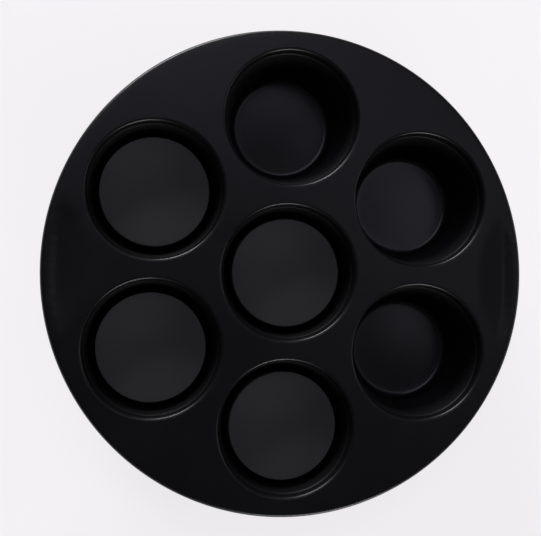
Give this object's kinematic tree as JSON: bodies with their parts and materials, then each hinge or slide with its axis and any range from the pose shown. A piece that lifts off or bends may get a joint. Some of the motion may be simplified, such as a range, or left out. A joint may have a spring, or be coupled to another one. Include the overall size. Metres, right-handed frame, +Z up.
{
  "type": "round cup baking pan",
  "caption": "Round black baking pan with deep tapered cups set in a flat wired-edge plate, two pressed finger grips, and lift-out flat false bottoms for making shallow cakes.",
  "frame": {"origin": "centre of the base: the middle of the centre cup's outer floor, on the surface the pan stands on", "axes": "+Z up through the cups' mouths; +X to the right, through the right-hand finger grip; +Y to the back, through the cup furthest from a viewer who has one grip in each hand"},
  "size_m": [0.2108, 0.2108, 0.0338],
  "materials": {
    "plate_coating": "black non-stick coating on steel, semi-gloss",
    "cup_coating": "black non-stick coating on drawn steel, glossier on the floor",
    "insert_coating": "dark grey matte coating on steel",
    "wire_steel": "galvanised drawn wire"
  },
  "bodies": {
    "pan": {"frame_plate": "plate_coating", "rim_wire": "wire_steel", "cup_centre": "cup_coating", "cup_back_right": "cup_coating", "cup_back": "cup_coating", "cup_back_left": "cup_coating", "cup_front_left": "cup_coating", "cup_front": "cup_coating", "cup_front_right": "cup_coating"},
    "insert_centre": {"insert_centre": "insert_coating"},
    "insert_back_left": {"insert_back_left": "insert_coating"},
    "insert_front_left": {"insert_front_left": "insert_coating"},
    "insert_front": {"insert_front": "insert_coating"}
  },
  "joints": [
    {"name": "insert_centre_lift", "type": "slide", "parent": "pan", "child": "insert_centre", "axis": [0, 0, 1], "range_m": [0, 0.04]},
    {"name": "insert_back_left_lift", "type": "slide", "parent": "pan", "child": "insert_back_left", "axis": [0, 0, 1], "range_m": [0, 0.04]},
    {"name": "insert_front_left_lift", "type": "slide", "parent": "pan", "child": "insert_front_left", "axis": [0, 0, 1], "range_m": [0, 0.04]},
    {"name": "insert_front_lift", "type": "slide", "parent": "pan", "child": "insert_front", "axis": [0, 0, 1], "range_m": [0, 0.04]}
  ]
}
